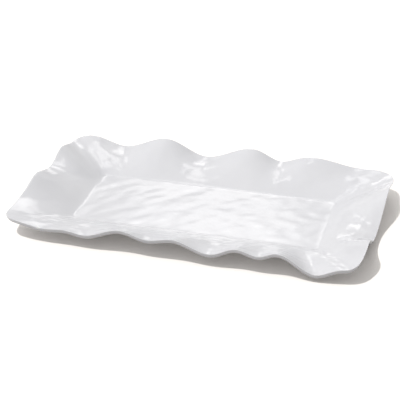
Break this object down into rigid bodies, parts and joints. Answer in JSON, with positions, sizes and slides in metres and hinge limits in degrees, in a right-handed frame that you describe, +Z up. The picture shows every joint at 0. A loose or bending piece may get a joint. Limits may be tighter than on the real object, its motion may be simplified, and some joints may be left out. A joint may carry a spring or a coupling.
{
  "type": "serving platter",
  "caption": "Long rectangular white china serving platter with a flat well, a crisp fold line and a broad ruffled, flaring rim on a low foot ring.",
  "frame": {"origin": "on the table, under the middle of the well; the middle of the outer outline is within 2 mm of it", "axes": "+X along the long side, +Y across to the far long side, +Z up out of the well"},
  "size_m": [0.517, 0.3046, 0.049],
  "materials": {
    "bare_china": "matte unglazed fired clay, fine grained, slightly cream",
    "white_glaze": "glossy plain white glaze"
  },
  "bodies": {
    "root": {"china_body": "bare_china", "outer_glaze": "white_glaze", "base_glaze": "white_glaze"}
  },
  "joints": []
}
